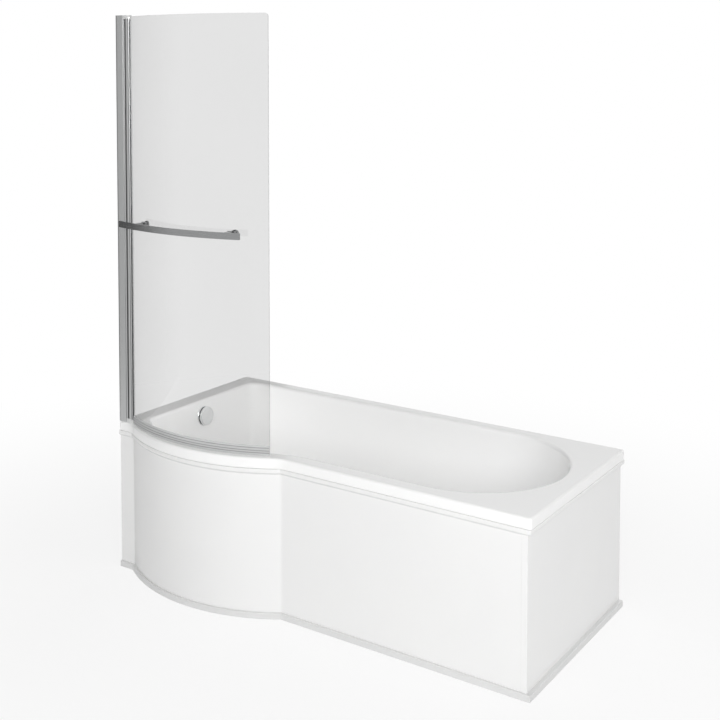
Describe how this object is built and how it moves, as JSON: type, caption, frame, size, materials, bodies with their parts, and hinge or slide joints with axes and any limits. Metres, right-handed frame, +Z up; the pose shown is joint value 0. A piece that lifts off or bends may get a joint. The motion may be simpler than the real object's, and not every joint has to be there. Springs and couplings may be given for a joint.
{
  "type": "p shaped shower bath",
  "caption": "P-shaped shower bath with front and end panels, a bent-glass swinging screen with a towel rail, adjustable feet, pop-up waste and overflow.",
  "frame": {"origin": "on the floor, at the centre of the plan box of the whole object", "axes": "+Z up; +X from the tap-end wall towards the head end, along the length; +Y from the open front, where the bulge is, to the back wall"},
  "size_m": [1.7, 0.87, 2.08],
  "materials": {
    "acrylic": "gloss white acrylic",
    "panel_plastic": "gloss white formed plastic",
    "plinth_plastic": "satin white moulding",
    "board": "raw chipboard and softwood",
    "zinc_steel": "bright zinc plate",
    "foot_plastic": "moulded nylon",
    "chrome": "polished chrome plate",
    "seal_rubber": "black rubber",
    "waste_plastic": "white polypropylene",
    "hose_plastic": "grey corrugated hose",
    "cable": "sheathed cable",
    "aluminium": "satin silver anodised",
    "cap_plastic": "pale grey moulding",
    "glass": "clear toughened glass",
    "clear_seal": "translucent flexible PVC",
    "rail_metal": "satin metal"
  },
  "bodies": {
    "bath": {"bath_shell": "acrylic", "base_board": "board", "rim_batten_back": "board", "rim_batten_front": "board", "rim_batten_end": "board", "cross_bar_tap": "zinc_steel", "cross_bar_head": "zinc_steel", "centre_plate": "zinc_steel", "foot_1": "foot_plastic", "foot_2": "foot_plastic", "foot_3": "foot_plastic", "foot_4": "foot_plastic", "foot_5": "foot_plastic", "stud_1": "zinc_steel", "stud_2": "zinc_steel", "stud_3": "zinc_steel", "stud_4": "zinc_steel", "stud_5": "zinc_steel", "lock_nuts": "zinc_steel", "frame_screws": "zinc_steel", "wall_bracket_1": "zinc_steel", "wall_bracket_2": "zinc_steel", "wall_bracket_3": "zinc_steel", "front_panel": "panel_plastic", "end_panel": "panel_plastic", "front_plinth": "plinth_plastic", "end_plinth": "plinth_plastic", "panel_clips": "zinc_steel", "waste_flange": "chrome", "waste_seal": "seal_rubber", "waste_body": "waste_plastic", "overflow_face": "chrome", "overflow_seal": "seal_rubber", "overflow_body": "waste_plastic", "overflow_hose": "hose_plastic", "lift_cable": "cable", "wall_channel": "aluminium", "adjuster_profile": "aluminium", "hinge_cap_top": "cap_plastic", "hinge_cap_bottom": "cap_plastic", "pivot_pin_top": "zinc_steel", "pivot_pin_bottom": "zinc_steel", "hinge_seal": "seal_rubber"},
    "screen": {"clamp_profile": "aluminium", "glazing_gasket": "seal_rubber", "glass_panel": "glass", "bottom_seal": "clear_seal", "rail_bar": "rail_metal", "rail_bracket_left": "rail_metal", "rail_bracket_right": "rail_metal", "rail_screws": "zinc_steel", "rail_caps": "rail_metal", "rail_washers": "seal_rubber"},
    "overflow_cover": {"overflow_dial": "chrome"},
    "plug": {"waste_plug": "chrome", "plug_ring": "seal_rubber"}
  },
  "joints": [
    {"name": "screen_swing", "type": "hinge", "parent": "bath", "child": "screen", "pos_m": [-0.793, -0.303, 1.32], "axis": [0, 0, 1], "range_deg": [-50, 90]},
    {"name": "cover_turn", "type": "hinge", "parent": "bath", "child": "overflow_cover", "pos_m": [-0.76107, 0.064, 0.498], "axis": [0.9977, 0, 0.0684], "range_deg": [0, 90]},
    {"name": "plug_lift", "type": "slide", "parent": "bath", "child": "plug", "axis": [0, 0, 1], "range_m": [0, 0.009]}
  ],
  "couplings": [
    {"joint": "plug_lift", "follows": "cover_turn", "m_per_rad": 0.005729}
  ]
}
